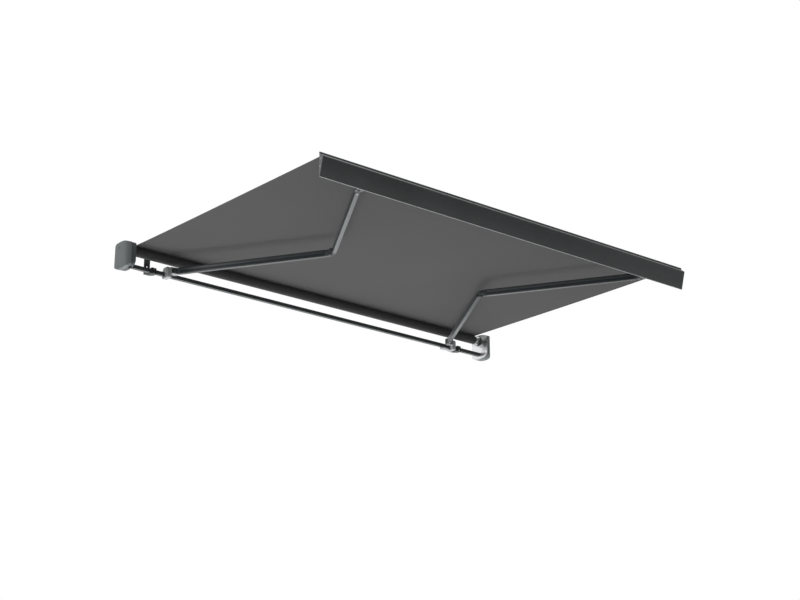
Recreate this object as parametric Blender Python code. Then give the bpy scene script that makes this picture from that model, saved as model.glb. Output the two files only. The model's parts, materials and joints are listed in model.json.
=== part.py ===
"""Open folding-arm canvas awning, extended, with its frame and without a wall.

Units are metres. X runs along the awning with its zero at the middle of the
cloth, +Y points at the wall, whose face is Y = 0, and +Z is up. The origin is
on the wall plane at the height of the torsion bar's axis.
"""

import math

import bmesh
import bpy
from mathutils import Matrix, Vector

# Driving dimensions -------------------------------------------------------
GAP = 0.0003                     # kept between pieces that touch
CLOTH_HALF = 2.000               # half the cloth's width
BAR_SIZE = 0.035                 # square torsion bar
BAR_WALL = 0.003
BAR_Y = -0.0995                  # torsion bar's axis; its height is Z = 0
BAR_HALF = 2.0497

ROLL_Y, ROLL_Z = -0.090, 0.145   # roller axis
TUBE_R, TUBE_WALL = 0.039, 0.0015
ROLL_R = 0.0415                  # over the turns of cloth left on the roller
TUBE_HALF = 2.022

ARM_SPAN = 1.476                 # pivot to pivot, the same in all four arms
ARM_SPLAY = math.radians(29.96)  # each arm off straight out, at rest
ARM_W, ARM_H, ARM_WALL = 0.032, 0.058, 0.003
ARM_Z = 0.031                    # middle height of the arms
ELBOW_OFFSET = 0.018             # the elbow pin stands this far inside the fold
ARM_LOW, ARM_TOP = ARM_Z - ARM_H / 2, ARM_Z + ARM_H / 2
TUBE_SETBACK = 0.0525            # the tube's end from the eye's pivot
TUBE_ELBOW_SETBACK = 0.0615      # and from the elbow pin
CORE_HALF_W = 0.0155             # half width of the castings on the tubes
SPIGOT_HALF_W, SPIGOT_HALF_H = 0.0125, 0.0255
SPIGOT_END = 0.095               # the eye's spigot, from the pivot
ELBOW_BLOCK_END = 0.026          # the elbow casting's block, from the pin
ELBOW_SPIGOT = 0.042             # how far its spigot reaches into the tube
SHOULDER_X, SHOULDER_Y = 1.600, -0.152
WRIST_Y = SHOULDER_Y - 2 * ARM_SPAN * math.cos(ARM_SPLAY)
PIN_R = 0.006
EYE_R = 0.030
EAR_T = 0.006                    # ears of a fork, within the arm's height
LUG_R = 0.021
LUG_HALF = 0.0125                # half height of the lug between the fork ears

BRACKET_X = {"left": 1.800, "right": 1.765}  # wall brackets
BRACKET_W = 0.060
PLATE_T = 0.010
BOLT_HOLE_R = 0.007
BOLT_HOLE_Z = (0.070, 0.142)
PLATE_Z = (-0.006, 0.160)        # wall brackets' back plate
JAW_ROOT = (-0.034, 0.044)       # Y of the upper jaw's root, and its height on the plate
JAW_HEEL_Y = -0.076              # where the lower jaw slopes up to the plate
JAW_T = 0.007                    # jaws of the wall brackets, over and under the bar
KEEPER_T = 0.008
KEEPER_Z = (-0.0265, 0.030)
KEEPER_BOLT_Z = (("upper", 0.0225), ("lower", -0.0190))
KEEPER_BOLT_R, KEEPER_BOLT_T = 0.0062, 0.0055
BLOCK_X = (1.643, 1.685)         # shoulder brackets, inner and outer face
BLOCK_FRONT, BLOCK_BACK = -0.168, -0.078
BLOCK_LOW = -0.038
FOOT = (1.568, -0.113)           # round clamp foot under the right block
FOOT_R, FOOT_LOW, FOOT_TOP = 0.031, -0.038, -0.024

COVER_FRONT, COVER_BACK = -0.229, -0.003
COVER_WALL = 0.003
COVER_X = 2.133                  # outer face of both end covers
COVER_PLAN_R = 0.080             # the covers' front edge, rounded in plan
COVER_LEFT = (-COVER_X, -2.0925)
HOUSING_LEFT = (-2.0920, -2.0500)
COVER_RIGHT = (2.0565, COVER_X)
OUTLET = (-2.0700, -0.168, 0.0165)  # cable outlet: X, Y and radius
PLATE_RIGHT = (2.0500, 2.0560)

MOTOR_R, MOTOR_END = 0.0225, -1.470
SHAFT_R, SHAFT_END = 0.0070, -1.430
WHEEL_X = (-1.460, -1.440)
CROWN_END, CROWN_R = -1.990, 0.0230
IDLER_R, IDLER_START, PLUG_START = 0.0100, 1.950, 1.960
BEARING_R, BEARING_RING_R = 0.0465, 0.0510
BEARING_X = 2.0430

FRONT_BAR_HALF = 2.044
FRONT_CAP_T = 0.003
FRONT_REAR_Y = WRIST_Y - 0.0775  # flat rear face of the front bar
FRONT_WALL = 0.0025
KEDER = (FRONT_REAR_Y - 0.004, 0.1765)
KEDER_R = 0.0045

COLOURS = {
    "frame_dark": ((0.030, 0.036, 0.038), 0.38, 0.30),
    "frame_cast": ((0.060, 0.066, 0.068), 0.45, 0.30),
    "bracket_black": ((0.012, 0.013, 0.014), 0.50, 0.20),
    "bare_metal": ((0.620, 0.630, 0.640), 0.30, 1.00),
    "steel": ((0.480, 0.480, 0.490), 0.32, 1.00),
    "cover_grey": ((0.085, 0.095, 0.098), 0.48, 0.00),
    "black_rubber": ((0.010, 0.010, 0.010), 0.70, 0.00),
    "cloth": ((0.090, 0.090, 0.090), 0.90, 0.00),
}


# Helpers ------------------------------------------------------------------
def clear_scene():
    for obj in list(bpy.data.objects):
        bpy.data.objects.remove(obj, do_unlink=True)


def material(slot):
    found = bpy.data.materials.get(slot)
    if found:
        return found
    colour, roughness, metallic = COLOURS[slot]
    made = bpy.data.materials.new(slot)
    made.use_nodes = True
    shader = made.node_tree.nodes["Principled BSDF"]
    shader.inputs["Base Color"].default_value = (*colour, 1.0)
    shader.inputs["Roughness"].default_value = roughness
    shader.inputs["Metallic"].default_value = metallic
    return made


def add_object(name, bm, slot=None, parent=None):
    """Turn a bmesh into a scene object, under a frame if one is given."""
    bmesh.ops.remove_doubles(bm, verts=bm.verts, dist=1e-6)
    bmesh.ops.recalc_face_normals(bm, faces=bm.faces)
    mesh = bpy.data.meshes.new(name)
    bm.to_mesh(mesh)
    bm.free()
    mesh.shade_smooth()
    mesh.set_sharp_from_angle(angle=math.radians(30))
    obj = bpy.data.objects.new(name, mesh)
    bpy.context.scene.collection.objects.link(obj)
    if slot:
        mesh.materials.append(material(slot))
    obj.parent = parent
    return obj


def frame_at(name, place, heading):
    """An empty at a pivot, its X axis turned to the heading about Z."""
    empty = bpy.data.objects.new(name, None)
    bpy.context.scene.collection.objects.link(empty)
    empty.location = place
    empty.rotation_euler = (0, 0, heading)
    return empty


def boolean(obj, other, operation):
    other.hide_render = True
    other.display_type = "WIRE"
    change = obj.modifiers.new(operation.lower(), "BOOLEAN")
    change.operation = operation
    change.solver = "EXACT"
    change.object = other


def join_all(obj, others):
    for other in others:
        boolean(obj, other, "UNION")


def bevel(obj, width, segments=1):
    edge = obj.modifiers.new("bevel", "BEVEL")
    edge.width = width
    edge.segments = segments
    edge.limit_method = "ANGLE"
    edge.angle_limit = math.radians(40)


def arc(centre, radius, start, end, steps):
    """Points on an arc, angles in degrees."""
    points = []
    for i in range(steps + 1):
        a = math.radians(start + (end - start) * i / steps)
        points.append((centre[0] + radius * math.cos(a), centre[1] + radius * math.sin(a)))
    return points


def circle(centre, radius, steps):
    return arc(centre, radius, 0, 360, steps)[:-1]


def rectangle(x0, x1, y0, y1):
    return [(x0, y0), (x1, y0), (x1, y1), (x0, y1)]


def hull(points):
    """Convex outline of a set of points, counter-clockwise."""
    points = sorted(set(points))

    def half(sequence):
        chain = []
        for p in sequence:
            while len(chain) >= 2:
                (ax, ay), (bx, by) = chain[-2], chain[-1]
                if (bx - ax) * (p[1] - ay) - (by - ay) * (p[0] - ax) > 1e-12:
                    break
                chain.pop()
            chain.append(p)
        return chain[:-1]

    return half(points) + half(reversed(points))


PLACE = {
    "X": lambda u, v, w: (w, u, v),
    "Z": lambda u, v, w: (u, v, w),
}


def prism(name, outline, low, high, along="X", slot=None, parent=None, hole=None):
    """Extrude an outline, with a hole of as many points if one is given.

    Along X the outline is in Y and Z, and along Z it is in X and Y.
    """
    bm = bmesh.new()
    place = PLACE[along]
    loops = [outline] + ([hole] if hole else [])
    rings = []
    for loop in loops:
        for level in (low, high):
            rings.append([bm.verts.new(place(u, v, level)) for u, v in loop])
    count = len(outline)
    for low_ring, high_ring in zip(rings[0::2], rings[1::2]):
        for i in range(len(low_ring)):
            j = (i + 1) % len(low_ring)
            bm.faces.new((low_ring[i], low_ring[j], high_ring[j], high_ring[i]))
    if hole:
        for outer, inner in ((rings[0], rings[2]), (rings[1], rings[3])):
            for i in range(count):
                j = (i + 1) % count
                bm.faces.new((outer[i], outer[j], inner[j], inner[i]))
    else:
        bm.faces.new(rings[0])
        bm.faces.new(rings[1])
    return add_object(name, bm, slot, parent)


def box(name, x, y, z, slot=None, parent=None):
    return prism(name, rectangle(y[0], y[1], z[0], z[1]), x[0], x[1], "X", slot, parent)


def rod(name, centre, radius, low, high, along="X", slot=None, parent=None, inner=0, steps=32):
    hole = circle(centre, inner, steps) if inner else None
    return prism(name, circle(centre, radius, steps), low, high, along, slot, parent, hole)


def turned(name, centre, profile, slot, steps=24):
    """Turn a closed profile of (radius, height) points about a vertical axis."""
    bm = bmesh.new()
    rings = []
    for radius, height in profile:
        if radius:
            ring = circle(centre, radius, steps)
            rings.append([bm.verts.new((u, v, height)) for u, v in ring])
        else:
            rings.append([bm.verts.new((centre[0], centre[1], height))])
    for lower, upper in zip(rings, rings[1:]):
        for i in range(steps):
            j = (i + 1) % steps
            corners = [lower[i % len(lower)], lower[j % len(lower)]]
            corners += [upper[j % len(upper)], upper[i % len(upper)]]
            bm.faces.new(list(dict.fromkeys(corners)))
    return add_object(name, bm, slot)


# Wall side: bar, brackets, covers -----------------------------------------
def torsion_bar():
    half, inner = BAR_SIZE / 2, BAR_SIZE / 2 - BAR_WALL
    outline = rounded_box(BAR_Y, 0, half, half, 0.003)
    hole = rounded_box(BAR_Y, 0, inner, inner, 0.001)
    prism("torsion_bar", outline, -BAR_HALF, BAR_HALF, "X", "frame_dark", None, hole)


def rounded_box(cy, cz, half_y, half_z, radius, steps=3):
    """Rectangle with round corners, counter-clockwise."""
    points = []
    for sy, sz, start in ((1, -1, 270), (1, 1, 0), (-1, 1, 90), (-1, -1, 180)):
        corner = (cy + sy * (half_y - radius), cz + sz * (half_z - radius))
        points += arc(corner, radius, start, start + 90, steps)
    return points


def bracket_span(side, sign, half):
    """Low and high X about a wall bracket's middle."""
    middle = sign * BRACKET_X[side]
    return middle - half, middle + half


def wall_bracket(side, sign):
    """Back plate with two bolt holes and a pair of jaws that seat the bar."""
    seat = BAR_SIZE / 2 + GAP
    front, back = BAR_Y - BAR_SIZE / 2, BAR_Y + seat
    top, low = seat + JAW_T, -seat - JAW_T
    outline = [
        (0, PLATE_Z[0]), (0, PLATE_Z[1]), (-PLATE_T, PLATE_Z[1]), (-PLATE_T, JAW_ROOT[1]),
        (JAW_ROOT[0], top), (front, top), (front, seat), (back, seat),
        (back, -seat), (front, -seat), (front, low), (JAW_HEEL_Y, low),
    ]
    low_x, high_x = bracket_span(side, sign, BRACKET_W / 2)
    obj = prism(f"wall_bracket_{side}", outline, low_x, high_x, "X", "bracket_black")
    for i, z in enumerate(BOLT_HOLE_Z):
        drill = rod_y(f"{side}_bolt_cutter_{i}", (sign * BRACKET_X[side], z), BOLT_HOLE_R, -0.02, 0.01)
        boolean(obj, drill, "DIFFERENCE")
    bevel(obj, 0.0015)


def rod_y(name, centre, radius, low, high, slot=None, parent=None, steps=20):
    """A round bar along Y, centred at (x, z)."""
    obj = prism(name, circle((0, 0), radius, steps), low, high, "Z", slot, parent)
    obj.data.transform(Matrix.Rotation(math.radians(-90), 4, "X"))
    obj.data.transform(Matrix.Translation((centre[0], 0, centre[1])))
    return obj


def bracket_keeper(side, sign):
    """Plate that shuts the jaws over the front of the bar."""
    front = BAR_Y - BAR_SIZE / 2 - GAP
    span = bracket_span(side, sign, BRACKET_W / 2 - 0.004)
    obj = box(f"bracket_keeper_{side}", span, (front - KEEPER_T, front), KEEPER_Z, "bracket_black")
    bevel(obj, 0.0015)


def keeper_bolts(side, sign):
    """A hexagon head above the bar and one below it, on the keeper."""
    front = BAR_Y - BAR_SIZE / 2 - KEEPER_T - 2 * GAP
    for place, z in KEEPER_BOLT_Z:
        rod_y(f"keeper_bolt_{place}_{side}", (sign * BRACKET_X[side], z), KEEPER_BOLT_R,
              front - KEEPER_BOLT_T, front, "steel", steps=6)


def cover_outline(inset):
    """Side shape of the end covers in Y and Z, drawn in by an inset."""
    front, back = COVER_FRONT, COVER_BACK
    points = [(front, 0.012), (front, 0.150)]
    points += arc((front + 0.024, 0.156), 0.024, 168, 112, 3)
    points += [(-0.180, 0.190), (-0.150, 0.198), (-0.115, 0.202), (-0.080, 0.202)]
    points += arc((back - 0.040, 0.160), 0.040, 84, 6, 5)
    points += [(back, 0.110), (back, -0.004), (-0.009, -0.021), (-0.030, -0.034), (-0.056, -0.0425)]
    points += [(-0.085, -0.0465), (-0.115, -0.0475), (-0.145, -0.046), (-0.174, -0.0415)]
    points += [(-0.195, -0.033), (-0.212, -0.021), (-0.224, -0.005)]
    return drawn_in(points, inset)


def drawn_in(points, inset):
    """A clockwise outline with every point moved inwards."""
    moved = []
    for i, (u, v) in enumerate(points):
        before, after = Vector(points[i - 1]), Vector(points[(i + 1) % len(points)])
        along = (after - before).normalized()
        moved.append((u + along.y * inset, v - along.x * inset))
    return moved


def cover_plan(name, sign, inset):
    """Upright body with the covers' plan shape, its front edge a broad arc."""
    middle = (COVER_X - COVER_PLAN_R, COVER_FRONT + COVER_PLAN_R)
    points = [(1.900, COVER_FRONT + inset)] + arc(middle, COVER_PLAN_R - inset, 270, 360, 12)
    points += arc((COVER_X - 0.014, COVER_BACK - 0.014), 0.014 - inset, 0, 90, 3)
    points += [(1.900, COVER_BACK - inset)]
    return prism(name, [(sign * x, y) for x, y in points], -0.2, 0.4, "Z")


def end_cover(name, sign, low, high):
    """Moulded cover: a shut outer face and a rim, open on the inner side."""
    obj = prism(name, cover_outline(0), low, high, "X", "cover_grey")
    boolean(obj, cover_plan(f"{name}_plan", sign, 0), "INTERSECT")
    hollow = prism(f"{name}_hollow", cover_outline(COVER_WALL), low - 0.01, high + 0.01)
    boolean(hollow, cover_plan(f"{name}_hollow_plan", sign, COVER_WALL), "INTERSECT")
    boolean(obj, hollow, "DIFFERENCE")


def drive_housing():
    """Cast motor head carrier on the left, with a cable outlet below."""
    x0, x1 = HOUSING_LEFT
    obj = prism("drive_housing", cover_outline(0.003), x0, x1, "X", "frame_cast")
    boolean(obj, cover_plan("housing_plan", -1, 0.003), "INTERSECT")
    seat = rod("motor_seat_cutter", (ROLL_Y, ROLL_Z), MOTOR_R + 0.0005, x1 - 0.020, x1 + 0.01)
    boolean(obj, seat, "DIFFERENCE")
    x, y, radius = OUTLET
    boolean(obj, prism("outlet_cutter", circle((x, y), radius, 24), -0.08, 0.010, "Z"), "DIFFERENCE")


def end_plate():
    """Bare plate on the right that carries the bar end and the idler pin."""
    obj = prism("end_plate", cover_outline(0.001), *PLATE_RIGHT, "X", "bare_metal")
    boolean(obj, rod("idler_hole_cutter", (ROLL_Y, ROLL_Z), IDLER_R + 0.0004, 2.04, 2.07), "DIFFERENCE")


def fork_ears(name, outline):
    """Upper and lower ear of a fork, within the arm's height."""
    upper = prism(f"{name}_upper", outline, ARM_TOP - EAR_T, ARM_TOP, "Z")
    lower = prism(f"{name}_lower", outline, ARM_LOW, ARM_LOW + EAR_T, "Z")
    return upper, lower


def shoulder_bracket(side, sign):
    """Block clamped round the bar, with two ears for the arm's eye."""
    half = BAR_SIZE / 2 + GAP
    x_in, x_out = sign * BLOCK_X[0], sign * BLOCK_X[1]
    low, high = sorted((x_in, x_out))
    front, back = BLOCK_FRONT, BLOCK_BACK
    block = [(front, BLOCK_LOW + 0.007), (front + 0.007, BLOCK_LOW), (back - 0.007, BLOCK_LOW),
             (back, BLOCK_LOW + 0.007),
             (back, 0.034), (back - 0.018, ARM_TOP - 0.004), (back - 0.030, ARM_TOP),
             (front + 0.014, ARM_TOP), (front, ARM_TOP - 0.014)]
    obj = prism(f"shoulder_bracket_{side}", block, low, high, "X", "frame_cast")
    pivot = (sign * SHOULDER_X, SHOULDER_Y)
    root = x_in + sign * 0.010
    ear = hull(circle(pivot, EYE_R, 28) + [(root, front + 0.002), (root, -0.121)])
    join_all(obj, fork_ears(f"{side}_shoulder", ear))
    if side == "right":
        foot = hull(circle(FOOT, FOOT_R, 28) + rectangle(FOOT[0], root, FOOT[1] - 0.012, FOOT[1] + 0.012))
        join_all(obj, (prism("clamp_foot", foot, FOOT_LOW, FOOT_TOP, "Z"),))
    bar_hole = prism(f"{side}_bar_cutter", rounded_box(BAR_Y, 0, half, half, 0.003), low - 0.2, high + 0.2)
    boolean(obj, bar_hole, "DIFFERENCE")
    boolean(obj, rod(f"{side}_pin_cutter", pivot, PIN_R + GAP, -0.060, 0.090, "Z", steps=24), "DIFFERENCE")


def pivot_pin(name, centre, low, high):
    """Headed pin, turned, with a cap at each end."""
    profile = [
        (0, low - 0.004), (0.010, low - 0.004), (0.011, low - 0.003), (0.011, low - GAP),
        (PIN_R, low - GAP), (PIN_R, high + GAP), (0.011, high + GAP),
        (0.011, high + 0.003), (0.010, high + 0.004), (0, high + 0.004),
    ]
    turned(name, centre, profile, "steel")


# Roller -------------------------------------------------------------------
def roller():
    axis = (ROLL_Y, ROLL_Z)
    bore = TUBE_R - TUBE_WALL
    rod("roller_tube", axis, TUBE_R, -TUBE_HALF, TUBE_HALF, "X", "steel", None, bore, 40)
    rod("cloth_roll", axis, ROLL_R, -CLOTH_HALF, CLOTH_HALF, "X", "cloth", None, TUBE_R + GAP, 48)
    plug = bore - GAP
    rod("idler_plug", axis, plug, PLUG_START, TUBE_HALF, "X", "black_rubber", None, IDLER_R + GAP, 32)
    rod("drive_wheel", axis, plug, *WHEEL_X, "X", "black_rubber", None, SHAFT_R + GAP, 32)
    rod("crown_ring", axis, plug, -TUBE_HALF, CROWN_END, "X", "black_rubber", None, CROWN_R, 32)


def roller_supports():
    axis = (ROLL_Y, ROLL_Z)
    rod("motor_tube", axis, MOTOR_R, HOUSING_LEFT[1] - 0.019, MOTOR_END, "X", "steel", None, 0, 32)
    rod("motor_shaft", axis, SHAFT_R, MOTOR_END + GAP, SHAFT_END, "X", "steel", None, 0, 20)
    rod("idler_pin", axis, IDLER_R, IDLER_START, PLATE_RIGHT[1] - 0.0005, "X", "steel", None, 0, 24)
    end = PLATE_RIGHT[0] - GAP
    rod("bearing_disc", axis, BEARING_R, BEARING_X, end, "X", "bare_metal", None, IDLER_R + 0.0004, 40)
    rod("bearing_ring", axis, BEARING_RING_R, BEARING_X - 0.001, end, "X", "black_rubber", None,
        BEARING_R + GAP, 40)


# Folding arms -------------------------------------------------------------
def arm_section(inset):
    """Half width and half height, with a shallow groove in each side."""
    half_w, half_h = ARM_W / 2 - inset, ARM_H / 2 - inset
    if inset:
        return [(-half_w, -half_h), (half_w, -half_h), (half_w, -0.007), (half_w, -0.004),
                (half_w, 0.004), (half_w, 0.007), (half_w, half_h), (-half_w, half_h),
                (-half_w, 0.007), (-half_w, 0.004), (-half_w, -0.004), (-half_w, -0.007)]
    groove = half_w - 0.0014
    return [(-half_w, -half_h), (half_w, -half_h), (half_w, -0.007), (groove, -0.004),
            (groove, 0.004), (half_w, 0.007), (half_w, half_h), (-half_w, half_h),
            (-half_w, 0.007), (-groove, 0.004), (-groove, -0.004), (-half_w, -0.007)]


def arm_frame(name, eye, elbow, out):
    """Frame at the eye pivot with X along the tube.

    The tube passes the elbow pin at ELBOW_OFFSET on the outer side of the
    fold, so that the folded arms lie side by side.
    """
    line = Vector((elbow[0] - eye[0], elbow[1] - eye[1]))
    square = Vector((-line.y, line.x)).normalized() * out
    aim = line + square * ELBOW_OFFSET
    heading = math.atan2(aim.y, aim.x)
    back = Matrix.Rotation(-heading, 2)
    return frame_at(name, (eye[0], eye[1], ARM_Z), heading), back @ line


def eye_casting(name, frame):
    """Round eye on the pivot, a neck, and a spigot that plugs the tube."""
    half, low_half = ARM_H / 2 - GAP, ARM_H / 2 - EAR_T - GAP
    core, shoulder = CORE_HALF_W, EYE_R + 0.006
    obj = rod(name, (0, 0), EYE_R, -low_half, low_half, "Z", "frame_cast", frame, steps=32)
    neck = box(f"{name}_neck", (0.004, shoulder + 0.001), (-core, core), (-low_half, low_half), None, frame)
    body = box(f"{name}_body", (shoulder, TUBE_SETBACK - GAP), (-core, core), (-half, half), None, frame)
    join_all(obj, (neck, body, spigot(name, TUBE_SETBACK - 0.002, SPIGOT_END, frame)))
    bore = rod(f"{name}_bore", (0, 0), PIN_R + GAP, -0.1, 0.1, "Z", None, frame, steps=24)
    boolean(obj, bore, "DIFFERENCE")


def spigot(name, start, end, frame):
    sides, heights = (-SPIGOT_HALF_W, SPIGOT_HALF_W), (-SPIGOT_HALF_H, SPIGOT_HALF_H)
    return box(f"{name}_spigot", (start, end), sides, heights, None, frame)


def elbow_casting(name, frame, pin, levels):
    """Block on the tube's end, with ears or a lug that reach to the elbow pin."""
    half, core = ARM_H / 2 - GAP, CORE_HALF_W
    end, start = pin.x - ELBOW_BLOCK_END, pin.x - TUBE_ELBOW_SETBACK + GAP
    obj = box(name, (start, end), (-core, core), (-half, half), "frame_cast", frame)
    join_all(obj, (spigot(name, start - ELBOW_SPIGOT, start + 0.002, frame),))
    outline = hull(circle((pin.x, pin.y), LUG_R, 28) + rectangle(end - 0.001, end, -core, core))
    for i, (low, high) in enumerate(levels):
        boolean(obj, prism(f"{name}_lug_{i}", outline, low, high, "Z", None, frame), "UNION")
    bore = rod(f"{name}_bore", (pin.x, pin.y), PIN_R + GAP, -0.1, 0.1, "Z", None, frame, steps=24)
    boolean(obj, bore, "DIFFERENCE")


def arm_tube(name, frame, pin):
    end = pin.x - TUBE_ELBOW_SETBACK
    prism(name, arm_section(0), TUBE_SETBACK, end, "X", "frame_dark", frame, arm_section(ARM_WALL))


def spring(name, frame, start, end):
    """Tension spring in the upper arm's tube."""
    coil_r, wire_r, turns, per_turn, sides = 0.0088, 0.0016, 22, 10, 5
    bm = bmesh.new()
    rings = []
    for i in range(turns * per_turn + 1):
        a = 2 * math.pi * i / per_turn
        x = start + (end - start) * i / (turns * per_turn)
        ring = []
        for k in range(sides):
            b = 2 * math.pi * k / sides
            r = coil_r + wire_r * math.cos(b)
            ring.append(bm.verts.new((x + wire_r * math.sin(b), r * math.cos(a), r * math.sin(a))))
        rings.append(ring)
    for near, far in zip(rings, rings[1:]):
        for k in range(sides):
            j = (k + 1) % sides
            bm.faces.new((near[k], near[j], far[j], far[k]))
    bm.faces.new(rings[0])
    bm.faces.new(rings[-1])
    add_object(name, bm, "steel", frame)


def arm_pair(side, sign):
    """Upper arm and forearm of one side, in the same plan mirrored."""
    shoulder = (sign * SHOULDER_X, SHOULDER_Y)
    wrist = (sign * SHOULDER_X, WRIST_Y)
    reach = Vector((-sign * math.sin(ARM_SPLAY), -math.cos(ARM_SPLAY))) * ARM_SPAN
    elbow = (shoulder[0] + reach.x, shoulder[1] + reach.y)
    ear = (LUG_HALF + 0.001, ARM_H / 2 - GAP)

    frame, pin = arm_frame(f"upper_arm_frame_{side}", shoulder, elbow, -sign)
    eye_casting(f"shoulder_casting_{side}", frame)
    arm_tube(f"upper_arm_{side}", frame, pin)
    elbow_casting(f"elbow_fork_{side}", frame, pin, (ear, (-ear[1], -ear[0])))
    spring(f"arm_spring_{side}", frame, 0.100, 0.700)
    rod(f"tension_rod_{side}", (0, 0), 0.0030, 0.7020, pin.x - 0.1040, "X", "steel", frame, 0, 12)

    frame, pin = arm_frame(f"forearm_frame_{side}", wrist, elbow, sign)
    eye_casting(f"wrist_casting_{side}", frame)
    arm_tube(f"forearm_{side}", frame, pin)
    elbow_casting(f"elbow_lug_{side}", frame, pin, ((-LUG_HALF, LUG_HALF),))

    for joint, place in (("elbow", elbow), ("shoulder", shoulder), ("wrist", wrist)):
        pivot_pin(f"{joint}_pin_{side}", place, ARM_LOW, ARM_TOP)


# Front bar ----------------------------------------------------------------
def front_outline(inset):
    """Wedge section: leaning face, upright rear, sloping top."""
    rear = FRONT_REAR_Y - inset
    return [
        (rear - 0.006 + inset * 1.2, -0.020 + inset), (rear, -0.020 + inset),
        (rear, 0.168 - inset), (rear - 0.006 + inset * 0.4, 0.170 - inset),
        (rear - 0.046 + inset * 2.0, 0.140 - inset * 0.4), (rear - 0.046 + inset * 2.0, 0.134 - inset),
    ]


def front_bar():
    """Extrusion with a round channel on its top rear edge for the cloth's hem."""
    obj = prism("front_bar", front_outline(0), -FRONT_BAR_HALF, FRONT_BAR_HALF, "X", "frame_dark", None,
                front_outline(FRONT_WALL))
    channel = arc(KEDER, 0.0085, 40, 320, 20) + arc(KEDER, 0.0062, 320, 40, 16)
    boolean(obj, prism("channel_shape", channel, -FRONT_BAR_HALF, FRONT_BAR_HALF), "UNION")
    rod("keder_rod", KEDER, KEDER_R, -CLOTH_HALF, CLOTH_HALF, "X", "bare_metal", None, 0, 12)
    for side, sign in (("left", -1), ("right", 1)):
        x0, x1 = sorted((sign * (FRONT_BAR_HALF + GAP), sign * (FRONT_BAR_HALF + FRONT_CAP_T)))
        cap = prism(f"front_cap_{side}", front_outline(0), x0, x1, "X", "cover_grey")
        boolean(cap, rod(f"cap_ear_{side}", KEDER, 0.0085, x0, x1), "UNION")


def wrist_bracket(side, sign):
    """Plate on the bar's rear face, with two ears for the forearm's eye."""
    x = sign * SHOULDER_X
    rear = FRONT_REAR_Y + GAP
    obj = box(f"wrist_bracket_{side}", (x - 0.040, x + 0.040), (rear, rear + 0.008), (-0.016, 0.078),
              "frame_cast")
    ear = hull(circle((x, WRIST_Y), EYE_R, 28) + rectangle(x - 0.034, x + 0.034, rear + 0.002, rear + 0.008))
    join_all(obj, fork_ears(f"{side}_wrist", ear))
    bore = rod(f"{side}_wrist_bore", (x, WRIST_Y), PIN_R + GAP, -0.1, 0.2, "Z", steps=24)
    boolean(obj, bore, "DIFFERENCE")


# Cloth --------------------------------------------------------------------
def cloth_panel():
    """The stretched cover from the roller's top to the keder rail."""
    back, front = ROLL_Y, KEDER[0] + KEDER_R + GAP
    low_back, low_front = ROLL_Z + ROLL_R + GAP, KEDER[1] - 0.001
    outline = [(front, low_front), (back, low_back), (back, low_back + 0.002), (front, low_front + 0.002)]
    prism("cloth_panel", outline, -CLOTH_HALF, CLOTH_HALF, "X", "cloth")


def build():
    clear_scene()
    torsion_bar()
    for side, sign in (("left", -1), ("right", 1)):
        wall_bracket(side, sign)
        bracket_keeper(side, sign)
        keeper_bolts(side, sign)
        shoulder_bracket(side, sign)
        arm_pair(side, sign)
        wrist_bracket(side, sign)
    end_cover("end_cover_left", -1, *COVER_LEFT)
    end_cover("end_cover_right", 1, *COVER_RIGHT)
    drive_housing()
    end_plate()
    roller()
    roller_supports()
    front_bar()
    cloth_panel()


build()
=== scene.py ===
import json
import math

import bpy
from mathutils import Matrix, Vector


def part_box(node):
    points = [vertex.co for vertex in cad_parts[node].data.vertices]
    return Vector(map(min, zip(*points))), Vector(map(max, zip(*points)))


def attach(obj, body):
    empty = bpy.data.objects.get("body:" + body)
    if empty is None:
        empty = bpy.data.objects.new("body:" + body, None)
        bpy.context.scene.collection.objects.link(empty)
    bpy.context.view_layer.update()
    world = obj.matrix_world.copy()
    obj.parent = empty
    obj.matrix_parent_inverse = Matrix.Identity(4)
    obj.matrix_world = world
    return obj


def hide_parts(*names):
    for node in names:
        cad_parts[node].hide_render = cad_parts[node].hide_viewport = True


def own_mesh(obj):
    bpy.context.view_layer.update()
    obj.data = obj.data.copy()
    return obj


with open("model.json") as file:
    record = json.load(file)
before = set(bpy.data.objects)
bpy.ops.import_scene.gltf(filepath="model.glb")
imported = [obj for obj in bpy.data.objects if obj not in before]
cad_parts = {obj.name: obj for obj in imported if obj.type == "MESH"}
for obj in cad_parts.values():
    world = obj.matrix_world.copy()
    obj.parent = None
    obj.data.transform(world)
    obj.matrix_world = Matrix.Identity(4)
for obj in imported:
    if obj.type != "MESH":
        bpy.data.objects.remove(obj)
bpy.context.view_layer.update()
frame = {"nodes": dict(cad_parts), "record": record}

NODES = frame["nodes"]
BODY_OF = {node: body for body, nodes in frame["record"]["behaviour"]["bodies"].items() for node in nodes}
SLOT_OF = {row["node"]: row["material_slot"] for row in frame["record"]["subparts"]}
SIDES = (("left", -1), ("right", 1))


# Shader writing ------------------------------------------------------------
class Tone:
    """A socket of a material, so that its sums read as sums."""

    def __init__(self, paint, socket):
        self.paint, self.socket = paint, socket

    def _with(self, operation, other, swapped=False):
        pair = (other, self) if swapped else (self, other)
        return self.paint.add("ShaderNodeMath", {"operation": operation}, {0: pair[0], 1: pair[1]})

    def __add__(self, other):
        return self._with("ADD", other)

    def __radd__(self, other):
        return self._with("ADD", other, True)

    def __sub__(self, other):
        return self._with("SUBTRACT", other)

    def __rsub__(self, other):
        return self._with("SUBTRACT", other, True)

    def __mul__(self, other):
        return self._with("MULTIPLY", other)

    def __rmul__(self, other):
        return self._with("MULTIPLY", other, True)


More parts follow.
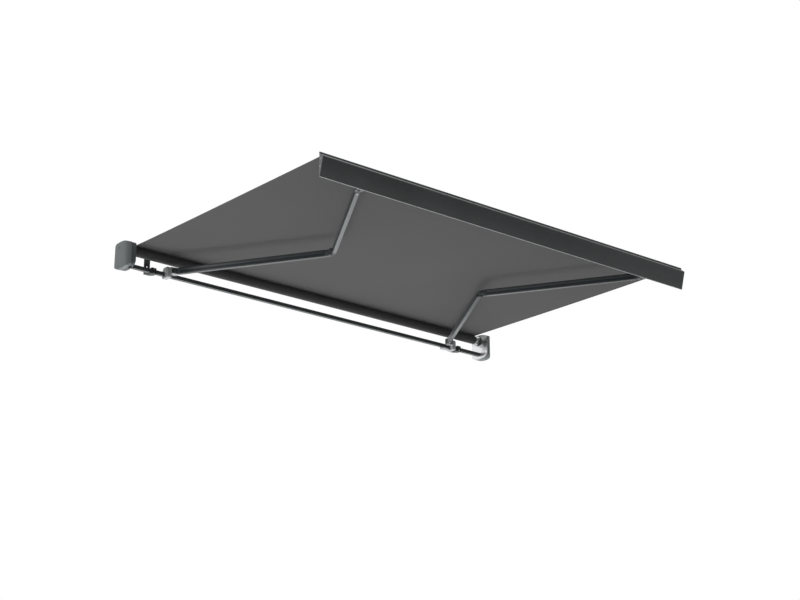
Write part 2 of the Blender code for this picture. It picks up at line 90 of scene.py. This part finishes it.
class Paint:
    """One material: its nodes and its Principled shader."""

    def __init__(self, name, **constants):
        self.material = bpy.data.materials.new(name)
        self.material.use_nodes = True
        self.tree = self.material.node_tree
        self.shader = self.tree.nodes["Principled BSDF"]
        for socket, value in constants.items():
            self.shader.inputs[socket.replace("_", " ")].default_value = value

    def add(self, kind, settings=None, inputs=None, output=0):
        node = self.tree.nodes.new(kind)
        for key, value in (settings or {}).items():
            if key == "stops":
                self._stops(node.color_ramp, value)
            else:
                setattr(node, key, value)
        for key, value in (inputs or {}).items():
            if isinstance(value, Tone):
                self.tree.links.new(value.socket, node.inputs[key])
            else:
                node.inputs[key].default_value = value
        return Tone(self, node.outputs[output])

    def _stops(self, ramp, stops):
        while len(ramp.elements) < len(stops):
            ramp.elements.new(0.5)
        for element, (place, colour) in zip(ramp.elements, stops):
            element.position, element.color = place, (*colour, 1)

    def set(self, **tones):
        for socket, tone in tones.items():
            self.tree.links.new(tone.socket, self.shader.inputs[socket.replace("_", " ")])
        return self.material

    def place(self, scale=(1, 1, 1), source="Object"):
        """Object (or UV) coordinates in metres, stretched by a scale."""
        coords = self.add("ShaderNodeTexCoord", output=source)
        return self.add("ShaderNodeMapping", None, {"Vector": coords, "Scale": scale})

    def noise(self, scale, detail=3.0, rough=0.5, at=None):
        return self.add("ShaderNodeTexNoise", None, {
            "Vector": at or self.place(), "Scale": scale, "Detail": detail, "Roughness": rough})

    def cells(self, scale, feature="F1"):
        return self.add("ShaderNodeTexVoronoi", {"feature": feature}, {
            "Vector": self.place(), "Scale": scale})

    def blend(self, share, first, second):
        return self.add("ShaderNodeMix", {"data_type": "RGBA"}, {
            "Factor": share, "A": (*first, 1), "B": (*second, 1)}, "Result")

    def bump(self, height, strength, distance):
        return self.add("ShaderNodeBump", None, {
            "Height": height, "Strength": strength, "Distance": distance})

    def wave(self, value, pitch):
        """0 to 1 and back once every pitch."""
        turn = value * (2 * math.pi / pitch)
        return self.add("ShaderNodeMath", {"operation": "SINE"}, {0: turn}) * 0.5 + 0.5

    def axis(self, vector, name):
        return self.add("ShaderNodeSeparateXYZ", None, {"Vector": vector}, name)


def shade(colour, factor):
    return tuple(c * factor for c in colour)


# Finishes ------------------------------------------------------------------
PEEL_SCALE, PEEL_DEPTH = 1400, 0.12         # orange peel of the powder coats
WARP_PITCH, WEFT_PITCH = 0.00095, 0.00105   # threads of the canvas, in metres
SEAM_PITCH, STITCH_PITCH = 0.006, 0.0042    # sewn rows on the hems, and their stitches
PAINTED_HIGHLIGHT_GREY = (0.22, 0.23, 0.235)              # colour of the painted highlights on the front bar's lower edge and top band


def powder_coat(name, colour, roughness):
    """Satin powder coat: fine orange peel and a faint drift in colour and gloss."""
    p = Paint(name, Metallic=0.0, IOR=1.5)
    peel = p.noise(PEEL_SCALE, 2.0) * 0.6 + p.noise(PEEL_SCALE * 0.22, 2.0) * 0.4
    drift = p.noise(2.3, 4.0, 0.6)
    dust = p.noise(38, 5.0, 0.7)
    return p.set(
        Base_Color=p.blend(drift * 0.7 + dust * 0.3, shade(colour, 0.86), shade(colour, 1.16)),
        Roughness=roughness - 0.05 + drift * 0.06 + dust * 0.05,
        Normal=p.bump(peel, PEEL_DEPTH, 0.0004))


def coat_with_painted_highlights(name, colour, roughness, highlight_below_z, highlight_above_z):
    """Powder coat of the front bar, with painted highlights on its lower edge and its top band, standing in
    for the light they catch.
    """
    p = Paint(name, Metallic=0.0, IOR=1.5)
    drift = p.noise(2.3, 4.0, 0.6)
    dust = p.noise(38, 5.0, 0.7)
    height = p.axis(p.place(), "Z")
    # painted highlights: the lower edge stands in for the bright ground it reflects, and the top band for
    # the light from above
    low = p.add("ShaderNodeMath", {"operation": "LESS_THAN"}, {0: height, 1: highlight_below_z})
    high = p.add("ShaderNodeMath", {"operation": "GREATER_THAN"}, {0: height, 1: highlight_above_z})
    painted_highlight = low * 0.8 + high * 0.22
    return p.set(
        Base_Color=p.blend(painted_highlight + drift * 0.14 + dust * 0.06, shade(colour, 0.86), PAINTED_HIGHLIGHT_GREY),
        Roughness=roughness - 0.05 + drift * 0.06 + dust * 0.05,
        Normal=p.bump(p.noise(PEEL_SCALE, 2.0), PEEL_DEPTH, 0.0004))


def cast_coat(name, colour, roughness):
    """Coated casting: coarser skin with shallow pits."""
    p = Paint(name, Metallic=0.0, IOR=1.5)
    skin = p.noise(620, 4.0, 0.62)
    pits = p.cells(260)
    drift = p.noise(9.0, 4.0, 0.6)
    return p.set(
        Base_Color=p.blend(drift * 0.6 + skin * 0.4, shade(colour, 0.80), shade(colour, 1.22)),
        Roughness=roughness - 0.06 + drift * 0.08 + skin * 0.06,
        Normal=p.bump(skin * 0.7 + pits * 0.3, 0.22, 0.0006))


def bright_metal(name, colour, roughness, stretch):
    """Machined metal: fine lines along one axis and a soft change in gloss."""
    p = Paint(name, Metallic=1.0)
    lines = p.noise(1.0, 3.0, 0.6, p.place(stretch))
    drift = p.noise(14, 3.0, 0.55)
    return p.set(
        Base_Color=p.blend(lines * 0.5 + drift * 0.5, shade(colour, 0.86), shade(colour, 1.06)),
        Roughness=roughness - 0.06 + lines * 0.10 + drift * 0.06,
        Normal=p.bump(lines, 0.10, 0.0003))


def plate_metal(name, colour, roughness, low, high):
    """Bright plate, darker and duller towards its upper edge: the darkening is painted shade standing in
    for the roll's shadow.
    """
    p = Paint(name, Metallic=1.0)
    lines = p.noise(1.0, 3.0, 0.6, p.place((30, 900, 900)))
    # painted shade: 0 at z=low to 1 at z=high; the colour darkens to a sixth towards the top, where the
    # roll shades the plate
    painted_shade = p.add("ShaderNodeMapRange", {"interpolation_type": "SMOOTHSTEP"}, {
        "Value": p.axis(p.place(), "Z"), "From Min": low, "From Max": high})
    return p.set(
        Base_Color=p.blend(painted_shade * 0.9 + lines * 0.1, colour, shade(colour, 0.16)),
        Roughness=roughness + painted_shade * 0.2 + lines * 0.08,
        Normal=p.bump(lines, 0.10, 0.0003))


def zinc(name, colour, roughness):
    """Zinc plate: small spangles of slightly different gloss."""
    p = Paint(name, Metallic=1.0)
    spangle = p.cells(420)
    drift = p.noise(30, 3.0)
    return p.set(
        Base_Color=p.blend(spangle * 0.6 + drift * 0.4, shade(colour, 0.82), shade(colour, 1.08)),
        Roughness=roughness - 0.05 + spangle * 0.12,
        Normal=p.bump(p.noise(900, 2.0), 0.08, 0.0003))


def moulding(name, colour, roughness):
    """Injection moulding with a spark-eroded grain."""
    p = Paint(name, Metallic=0.0, IOR=1.46)
    grain = p.cells(780, feature="SMOOTH_F1") * 0.5 + p.noise(1500, 3.0) * 0.5
    drift = p.noise(5.0, 4.0, 0.6)
    scuff = p.noise(70, 6.0, 0.75)
    return p.set(
        Base_Color=p.blend(drift * 0.6 + scuff * 0.4, shade(colour, 0.88), shade(colour, 1.13)),
        Roughness=roughness - 0.05 + drift * 0.06 + scuff * 0.06,
        Normal=p.bump(grain, 0.16, 0.0005))


def rubber(name, colour):
    p = Paint(name, Metallic=0.0, IOR=1.45)
    grain = p.noise(900, 3.0, 0.6)
    bloom = p.noise(26, 5.0, 0.7)
    return p.set(
        Base_Color=p.blend(bloom, shade(colour, 0.8), shade(colour, 1.5)),
        Roughness=0.62 + bloom * 0.14,
        Normal=p.bump(grain, 0.15, 0.0005))


def canvas(name, colour, stitched=False):
    """Woven acrylic canvas, read from the sheet's own UV map in metres."""
    p = Paint(name, Metallic=0.0, IOR=1.4, Sheen_Weight=0.07, Sheen_Roughness=0.6)
    flat = p.place(source="UV")
    across, along = p.axis(flat, "X"), p.axis(flat, "Y")
    warp, weft = p.wave(across, WARP_PITCH), p.wave(along, WEFT_PITCH)
    weave = warp * (1 - weft) + (1 - warp) * weft
    yarn_warp = p.noise(1.0, 2.0, 0.5, p.place((900, 1.4, 1), "UV"))
    yarn_weft = p.noise(1.0, 2.0, 0.5, p.place((1.4, 900, 1), "UV"))
    cloud = p.noise(1.1, 4.0, 0.6, flat)
    fleck = p.noise(2600, 2.0, 0.5, flat)
    share = weave * 0.26 + yarn_warp * 0.24 + yarn_weft * 0.18 + cloud * 0.22 + fleck * 0.10
    height = weave * 0.7 + yarn_warp * 0.15 + yarn_weft * 0.15
    if stitched:
        row = p.add("ShaderNodeMath", {"operation": "COMPARE"}, {
            0: p.wave(across, SEAM_PITCH), 1: 1.0, 2: 0.05})
        dash = p.add("ShaderNodeMath", {"operation": "GREATER_THAN"}, {
            0: p.wave(along, STITCH_PITCH), 1: 0.3})
        thread = row * dash
        height = height + thread * 0.8
        share = share * (1 - thread * 0.5)
    return p.set(
        Base_Color=p.blend(share, shade(colour, 0.72), shade(colour, 1.28)),
        Roughness=0.86 + fleck * 0.10,
        Normal=p.bump(height, 0.30, 0.0003))


ANTHRACITE = (0.030, 0.036, 0.037)
FINISHES = {
    "frame_dark": powder_coat("anthracite_powder_coat", ANTHRACITE, 0.42),
    "frame_cast": cast_coat("anthracite_cast_coat", (0.034, 0.040, 0.041), 0.54),
    "bracket_black": cast_coat("black_cast_coat", (0.012, 0.013, 0.014), 0.52),
    "bare_metal": bright_metal("machined_aluminium", (0.66, 0.67, 0.68), 0.30, (30, 900, 900)),
    "steel": zinc("zinc_plate", (0.52, 0.52, 0.53), 0.34),
    "cover_grey": moulding("grey_moulding", (0.090, 0.100, 0.103), 0.50),
    "black_rubber": rubber("black_rubber", (0.012, 0.012, 0.012)),
    "cloth": canvas("grey_canvas", (0.0295, 0.0295, 0.0295)),
}
# end plate with painted shade from z 0.095 up to z 0.200
PLATE_FINISH = plate_metal("shaded_plate", (0.72, 0.73, 0.74), 0.26, 0.095, 0.200)
HEM_FINISH = canvas("stitched_hem", (0.028, 0.028, 0.028), stitched=True)
PIN_FINISH = zinc("black_zinc", (0.060, 0.060, 0.062), 0.46)
# front bar coat with painted highlights below z -0.0172 and above z 0.1345
BAR_FINISH = coat_with_painted_highlights("front_bar_coat", shade(ANTHRACITE, 0.62), 0.46, -0.0172, 0.1345)
# shoulder brackets: a light grey copy of the anthracite cast coat, painting in the light that falls on
# their outer faces
LIT_BLOCK_FINISH = cast_coat("painted_light_cast_coat", (0.270, 0.280, 0.284), 0.44)


# Modelling helpers ----------------------------------------------------------
def only(obj):
    """Select one object alone and make it active."""
    if bpy.context.object and bpy.context.object.mode != "OBJECT":
        bpy.ops.object.mode_set(mode="OBJECT")
    bpy.ops.object.select_all(action="DESELECT")
    obj.select_set(True)
    bpy.context.view_layer.objects.active = obj
    return obj


def edit(obj, select="SELECT"):
    only(obj)
    bpy.ops.object.mode_set(mode="EDIT")
    bpy.ops.mesh.select_all(action=select)


def done():
    bpy.ops.object.mode_set(mode="OBJECT")


def pick_faces(obj, test):
    """Select in edit mode the faces whose centre and normal pass a test."""
    edit(obj, "DESELECT")
    done()
    for face in obj.data.polygons:
        face.select = bool(test(face.center, face.normal))
    bpy.ops.object.mode_set(mode="EDIT")
    bpy.ops.mesh.select_mode(type="FACE")


def apply_all(obj):
    only(obj)
    for change in list(obj.modifiers):
        bpy.ops.object.modifier_apply(modifier=change.name)
    return obj


def settle(obj, name, body, slot, finish=None, smooth=35):
    """Put a finished piece at the origin, name it, paint it and let it ride."""
    apply_all(obj)
    bpy.ops.object.transform_apply(location=True, rotation=True, scale=True)
    bpy.ops.object.shade_smooth_by_angle(angle=math.radians(smooth))
    obj.name = obj.data.name = name
    obj.data.materials.clear()
    obj.data.materials.append(finish or FINISHES[slot])
    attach(obj, body)
    return obj


def copy_of(node):
    """A merged copy of a CAD node's mesh, with its flat faces whole again."""
    obj = bpy.data.objects.new(f"{node}_copy", NODES[node].data.copy())
    bpy.context.scene.collection.objects.link(obj)
    edit(obj)
    bpy.ops.mesh.remove_doubles(threshold=0.00002)
    bpy.ops.mesh.dissolve_limited(angle_limit=math.radians(0.8))
    done()
    return obj


def bevel(obj, width, segments=2, angle=32):
    change = obj.modifiers.new("edges", "BEVEL")
    change.width, change.segments = width, segments
    change.limit_method, change.angle_limit = "ANGLE", math.radians(angle)
    return obj


def rounded(node, width, segments=2, finish=None):
    """The CAD node again, with its edges broken as on the real piece."""
    obj = bevel(copy_of(node), width, segments)
    settle(obj, f"{node}_finished", BODY_OF[node], SLOT_OF[node], finish)
    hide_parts(node)
    return obj


# Covers ----------------------------------------------------------------------
COVER_EDGE_R = 0.007


def select_outer_edges(obj, cavity, rim_x):
    """Select the sharp edges between outer faces, leaving out the rim and the cavity."""
    mesh = obj.data
    edit(obj, "DESELECT")
    bpy.ops.mesh.select_mode(type="EDGE")
    done()
    beside = {}
    for face in mesh.polygons:
        on_rim = abs(face.center.x - rim_x) < 0.0005
        if face.normal.dot(face.center - cavity) > 0 and not on_rim:
            for key in face.edge_keys:
                beside.setdefault(key, []).append(face.normal.copy())
    for edge in mesh.edges:
        normals = beside.get(tuple(sorted(edge.vertices)), ())
        edge.select = len(normals) == 2 and normals[0].angle(normals[1]) > math.radians(35)
    bpy.ops.object.mode_set(mode="EDIT")


def moulded_cover(node, outward):
    """End cover with a soft edge all round its outer side."""
    low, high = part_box(node)
    obj = copy_of(node)
    select_outer_edges(obj, (low + high) / 2, low.x if outward > 0 else high.x)
    bpy.ops.mesh.bevel(offset=COVER_EDGE_R, segments=5, profile=0.5, affect="EDGES")
    done()
    settle(obj, f"{node}_moulding", BODY_OF[node], SLOT_OF[node], smooth=40)
    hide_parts(node)
    return obj


def screw_master():
    """Pan head with a round recess, one unit in radius, that looks along +Z."""
    bpy.ops.object.select_all(action="DESELECT")
    bpy.ops.mesh.primitive_cylinder_add(vertices=24, radius=1, depth=0.55, location=(0, 0, 0.275))
    obj = bpy.context.object
    pick_faces(obj, lambda c, n: n.z > 0.9)
    bpy.ops.mesh.inset(thickness=0.45)
    bpy.ops.mesh.inset(thickness=0.12)
    bpy.ops.transform.translate(value=(0, 0, -0.22))
    done()
    bevel(obj, 0.11, 2)
    return apply_all(obj)


def screw_head(name, place, turn, body, radius=0.0055, slot="steel"):
    """Copy of the screw with its own mesh, put in place and turned."""
    obj = bpy.data.objects.new(name, SCREW.data.copy())
    bpy.context.scene.collection.objects.link(obj)
    obj.rotation_euler, obj.location = turn, place
    obj.scale = (radius, radius, radius)
    return settle(obj, name, body, slot)


# Cloth -----------------------------------------------------------------------
ROLL_LOW, ROLL_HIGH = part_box("cloth_roll")
ROLL_AXIS = ((ROLL_LOW.y + ROLL_HIGH.y) / 2, (ROLL_LOW.z + ROLL_HIGH.z) / 2)
ROLL_R = (ROLL_HIGH.z - ROLL_LOW.z) / 2
PANEL_LOW, PANEL_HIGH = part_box("cloth_panel")
CLOTH_HALF = PANEL_HIGH.x
CLOTH_T = 0.0005
WRAP_R = ROLL_R + 0.0005
SAG = 0.010
ON_ROLL = WRAP_R * math.radians(100)  # length of the sheet that lies on the roll
NEAR_ROWS, NEAR_LENGTH = 0.2, 0.032   # share of the grid's rows on the first share of the length
RIPPLE = 0.0015
HEM_WIDTH = 0.014


def cloth_line(s, span):
    """Point of the sheet's section at s metres from where it lies on the roll.

    The first stretch lies on the roll, and the rest runs to the front bar.
    """
    if s < ON_ROLL:
        a = (ON_ROLL - s) / WRAP_R
        return ROLL_AXIS[0] + WRAP_R * math.sin(a), ROLL_AXIS[1] + WRAP_R * math.cos(a)
    share = (s - ON_ROLL) / (span - ON_ROLL)
    y = ROLL_AXIS[0] + (PANEL_LOW.y - ROLL_AXIS[0]) * share
    top = ROLL_AXIS[1] + WRAP_R
    front = PANEL_LOW.z + 0.001
    return y, top + (front - top) * share - SAG * 4 * share * (1 - share) * 0.5


def cloth_strip(name, x0, x1, columns, finish, drop=0.0):
    """A grid laid along the sheet's section between two places across it."""
    span = ON_ROLL + ROLL_AXIS[0] - PANEL_LOW.y
    steps = 150
    bpy.ops.object.select_all(action="DESELECT")
    bpy.ops.mesh.primitive_grid_add(x_subdivisions=columns, y_subdivisions=steps, size=1)
    obj = bpy.context.object
    uv = obj.data.uv_layers.active.data
    flat = {}
    for v in obj.data.vertices:
        x, share = x0 + (v.co.x + 0.5) * (x1 - x0), 0.5 - v.co.y
        near, far = min(1, share / NEAR_ROWS), max(0, share - NEAR_ROWS) / (1 - NEAR_ROWS)
        s = span * (NEAR_LENGTH * near + (1 - NEAR_LENGTH) * far)
        y, z = cloth_line(s, span)
        middle = 1 - (x / CLOTH_HALF) ** 2
        free = max(0.0, min(1.0, (s - 0.08) / 0.5)) * max(0.0, min(1.0, (span - s) / 0.5))
        z += free * (-SAG * 0.5 * middle + RIPPLE * math.sin(x * 7.1 + y * 1.7))
        flat[v.index] = (x, s)
        v.co = (x, y, z + drop)
    for loop in obj.data.loops:
        uv[loop.index].uv = flat[loop.vertex_index]
    edit(obj)
    bpy.ops.mesh.normals_make_consistent(inside=False)
    done()
    wall = obj.modifiers.new("thickness", "SOLIDIFY")
    wall.thickness, wall.offset = CLOTH_T, 0
    settle(obj, name, "frame", "cloth", finish, smooth=60)
    return obj


def middle_of(node):
    low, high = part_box(node)
    return (low + high) / 2


def wind_in(obj):
    """Give a cloth piece a mesh of its own."""
    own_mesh(obj)


def canvas_panel():
    panel = cloth_strip("canvas_panel", -CLOTH_HALF, CLOTH_HALF, 60, FINISHES["cloth"])
    hems = []
    for side, sign in SIDES:
        x0, x1 = sorted((sign * (CLOTH_HALF - HEM_WIDTH), sign * (CLOTH_HALF - 0.0002)))
        hems.append(cloth_strip(f"canvas_hem_{side}", x0, x1, 3, HEM_FINISH, drop=-0.0006))
    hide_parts("cloth_panel")
    for piece in (panel, *hems):
        wind_in(piece)


def canvas_roll():
    """The turns left on the roller: one long strip wound as a spiral."""
    turns, per_turn, inner = 4, 40, 0.0394
    bpy.ops.object.select_all(action="DESELECT")
    bpy.ops.mesh.primitive_grid_add(x_subdivisions=24, y_subdivisions=turns * per_turn, size=1)
    obj = bpy.context.object
    uv = obj.data.uv_layers.active.data
    flat = {}
    for v in obj.data.vertices:
        share = v.co.y + 0.5
        a = 2 * math.pi * turns * share + math.pi / 2
        r = inner + (ROLL_R - 0.0003 - inner) * share
        x = v.co.x * 2 * CLOTH_HALF
        flat[v.index] = (x, a * 0.040)
        v.co = (x, ROLL_AXIS[0] - r * math.cos(a), ROLL_AXIS[1] + r * math.sin(a))
    for loop in obj.data.loops:
        uv[loop.index].uv = flat[loop.vertex_index]
    wall = obj.modifiers.new("thickness", "SOLIDIFY")
    wall.thickness, wall.offset = 0.00046, 0
    settle(obj, "canvas_roll", "roller", "cloth", smooth=60)
    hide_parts("cloth_roll")


# Small fittings ----------------------------------------------------------------
ARM_SCREWS = (0.066, 0.084)                      # distance from the arm's pivot
COVER_SCREWS = ((-0.076, 0.149), (-0.072, -0.019))   # Y and Z
BLOCK_SCREWS = ((-0.141, 0.023), (-0.141, -0.016))
CAP_SCREWS = ((-0.022, 0.125), (-0.0135, 0.062))     # Y from the cap's rear, and Z


def arm_screws():
    """Set screws that hold the castings in the arm tubes, on their under side."""
    for side, _ in SIDES:
        for tube, eye in ((f"upper_arm_{side}", "shoulder"), (f"forearm_{side}", "wrist")):
            pivot, elbow = middle_of(f"{eye}_pin_{side}"), middle_of(f"elbow_pin_{side}")
            aim = (elbow - pivot).normalized()
            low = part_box(tube)[0].z
            for i, step in enumerate(ARM_SCREWS):
                place = pivot + aim * step
                screw_head(f"{tube}_set_screw_{i}", (place.x, place.y, low), (math.pi, 0, 0),
                           BODY_OF[tube], 0.0042)


def cover_screws():
    """Two screws in each end cover's outer face."""
    for node, outward in (("end_cover_left", -1), ("end_cover_right", 1)):
        low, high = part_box(node)
        x = high.x if outward > 0 else low.x
        for i, (y, z) in enumerate(COVER_SCREWS):
            screw_head(f"{node}_screw_{i}", (x, y, z), (0, outward * math.pi / 2, 0), BODY_OF[node],
                       slot="black_rubber")


def bracket_screws():
    """Clamp screws in the shoulder brackets' outer faces."""
    for side, sign in SIDES:
        low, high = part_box(f"shoulder_bracket_{side}")
        x = high.x if sign > 0 else low.x
        for i, (y, z) in enumerate(BLOCK_SCREWS):
            screw_head(f"shoulder_bracket_{side}_screw_{i}", (x, y, z), (0, sign * math.pi / 2, 0), "frame",
                       0.0065)


def cap_screws():
    """Two screws in each end cap of the front bar."""
    for side, sign in SIDES:
        low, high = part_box(f"front_cap_{side}")
        x = high.x if sign > 0 else low.x
        for i, (inset, z) in enumerate(CAP_SCREWS):
            screw_head(f"front_cap_{side}_screw_{i}", (x, high.y + inset, z), (0, sign * math.pi / 2, 0),
                       BODY_OF[f"front_cap_{side}"], 0.0036)


# Stage ---------------------------------------------------------------------------
FLOOR_Z = -9
CAMERA_PLACE = (-9.9604, -13.117, -5.3973)
CAMERA_TILT, CAMERA_TURN = 18.66, -40.16  # degrees, up and from +Y
LENS = 83.3
LIGHTS = (  # name, place, target, size, power
    ("light_below", (-1.0, 1.5, -8.6), (0, -1.4, 0.1), 9.0, 1500),
    ("light_far_low", (16.0, 18.0, -8.6), (0, -1.4, 0.1), 16.0, 850),
    ("light_side", (-15.0, 3.0, 2.0), (0, -1.0, 0.1), 6.0, 420),
    ("light_over", (-1.0, -4.5, 9.0), (0, -2.8, 0.1), 5.0, 450),
)
EDGE_WIDTHS = (
    ("wall_bracket", 0.0014), ("bracket_keeper", 0.0010), ("shoulder_casting", 0.0018),
    ("elbow_fork", 0.0018), ("elbow_lug", 0.0018), ("wrist_casting", 0.0018),
    ("wrist_bracket", 0.0018), ("upper_arm", 0.0014), ("forearm", 0.0014), ("front_cap", 0.0007),
    ("keeper_bolt_upper", 0.0006), ("keeper_bolt_lower", 0.0006),
)


def paint_cad_nodes():
    for node, obj in NODES.items():
        obj.data.materials.clear()
        dark = node.startswith(("wrist_pin", "elbow_pin"))
        obj.data.materials.append(PIN_FINISH if dark else FINISHES[SLOT_OF[node]])


def floor():
    bpy.ops.object.select_all(action="DESELECT")
    bpy.ops.mesh.primitive_plane_add(size=400, location=(0, 0, FLOOR_Z))
    ground = bpy.context.object
    ground.name = "pale_floor"
    p = Paint("pale_floor", Roughness=0.9, Metallic=0.0)
    p.set(Base_Color=p.blend(p.noise(0.6, 4.0), (0.86, 0.86, 0.86), (0.92, 0.92, 0.92)))
    ground.data.materials.append(p.material)


def area_light(name, place, target, size, power):
    bpy.ops.object.light_add(type="AREA", location=place)
    lamp = bpy.context.object
    lamp.name = name
    lamp.data.shape, lamp.data.size, lamp.data.energy = "DISK", size, power
    aim = [t - p for t, p in zip(target, place)]
    from_z = math.atan2(math.hypot(aim[0], aim[1]), -aim[2])
    lamp.rotation_euler = (from_z, 0, math.atan2(aim[1], aim[0]) - math.pi / 2)
    lamp.visible_camera = False


def sky():
    """White surroundings, softer on the front side than behind the awning."""
    world = bpy.data.worlds.new("studio")
    world.use_nodes = True
    bpy.context.scene.world = world
    nodes, links = world.node_tree.nodes, world.node_tree.links
    back = nodes["Background"]
    coords = nodes.new("ShaderNodeTexCoord")
    split = nodes.new("ShaderNodeSeparateXYZ")
    links.new(coords.outputs["Generated"], split.inputs[0])
    ramp = nodes.new("ShaderNodeMapRange")
    ramp.interpolation_type = "SMOOTHSTEP"
    for key, value in ((1, -0.75), (2, 0.45), (3, 0.16), (4, 1.15)):
        ramp.inputs[key].default_value = value
    links.new(split.outputs["Y"], ramp.inputs[0])
    path = nodes.new("ShaderNodeLightPath")
    pick = nodes.new("ShaderNodeMix")
    links.new(path.outputs["Is Camera Ray"], pick.inputs[0])
    links.new(ramp.outputs[0], pick.inputs[2])
    pick.inputs[3].default_value = 1.0
    back.inputs["Color"].default_value = (1, 1, 1, 1)
    links.new(pick.outputs[0], back.inputs["Strength"])


def camera():
    turn = (math.radians(90 + CAMERA_TILT), 0, math.radians(CAMERA_TURN))
    bpy.ops.object.camera_add(location=CAMERA_PLACE, rotation=turn)
    cam = bpy.context.object
    cam.name = "camera"
    cam.data.lens, cam.data.sensor_width = LENS, 36
    cam.data.clip_end = 500
    bpy.context.scene.camera = cam


camera()
sky()
floor()
for light in LIGHTS:
    area_light(*light)
bpy.context.scene.view_settings.view_transform = "Standard"

paint_cad_nodes()
canvas_panel()
canvas_roll()
moulded_cover("end_cover_left", -1)
moulded_cover("end_cover_right", 1)
rounded("drive_housing", 0.0022, 3)
rounded("end_plate", 0.0010, finish=PLATE_FINISH)
rounded("front_bar", 0.0009, finish=BAR_FINISH)
for side, _ in SIDES:
    for part, width in EDGE_WIDTHS:
        rounded(f"{part}_{side}", width)
    # the shoulder brackets take the light grey copy whose colour paints in the light on them
    rounded(f"shoulder_bracket_{side}", 0.0024, finish=LIT_BLOCK_FINISH)
SCREW = screw_master()
cover_screws()
bracket_screws()
cap_screws()
arm_screws()
bpy.data.objects.remove(SCREW)
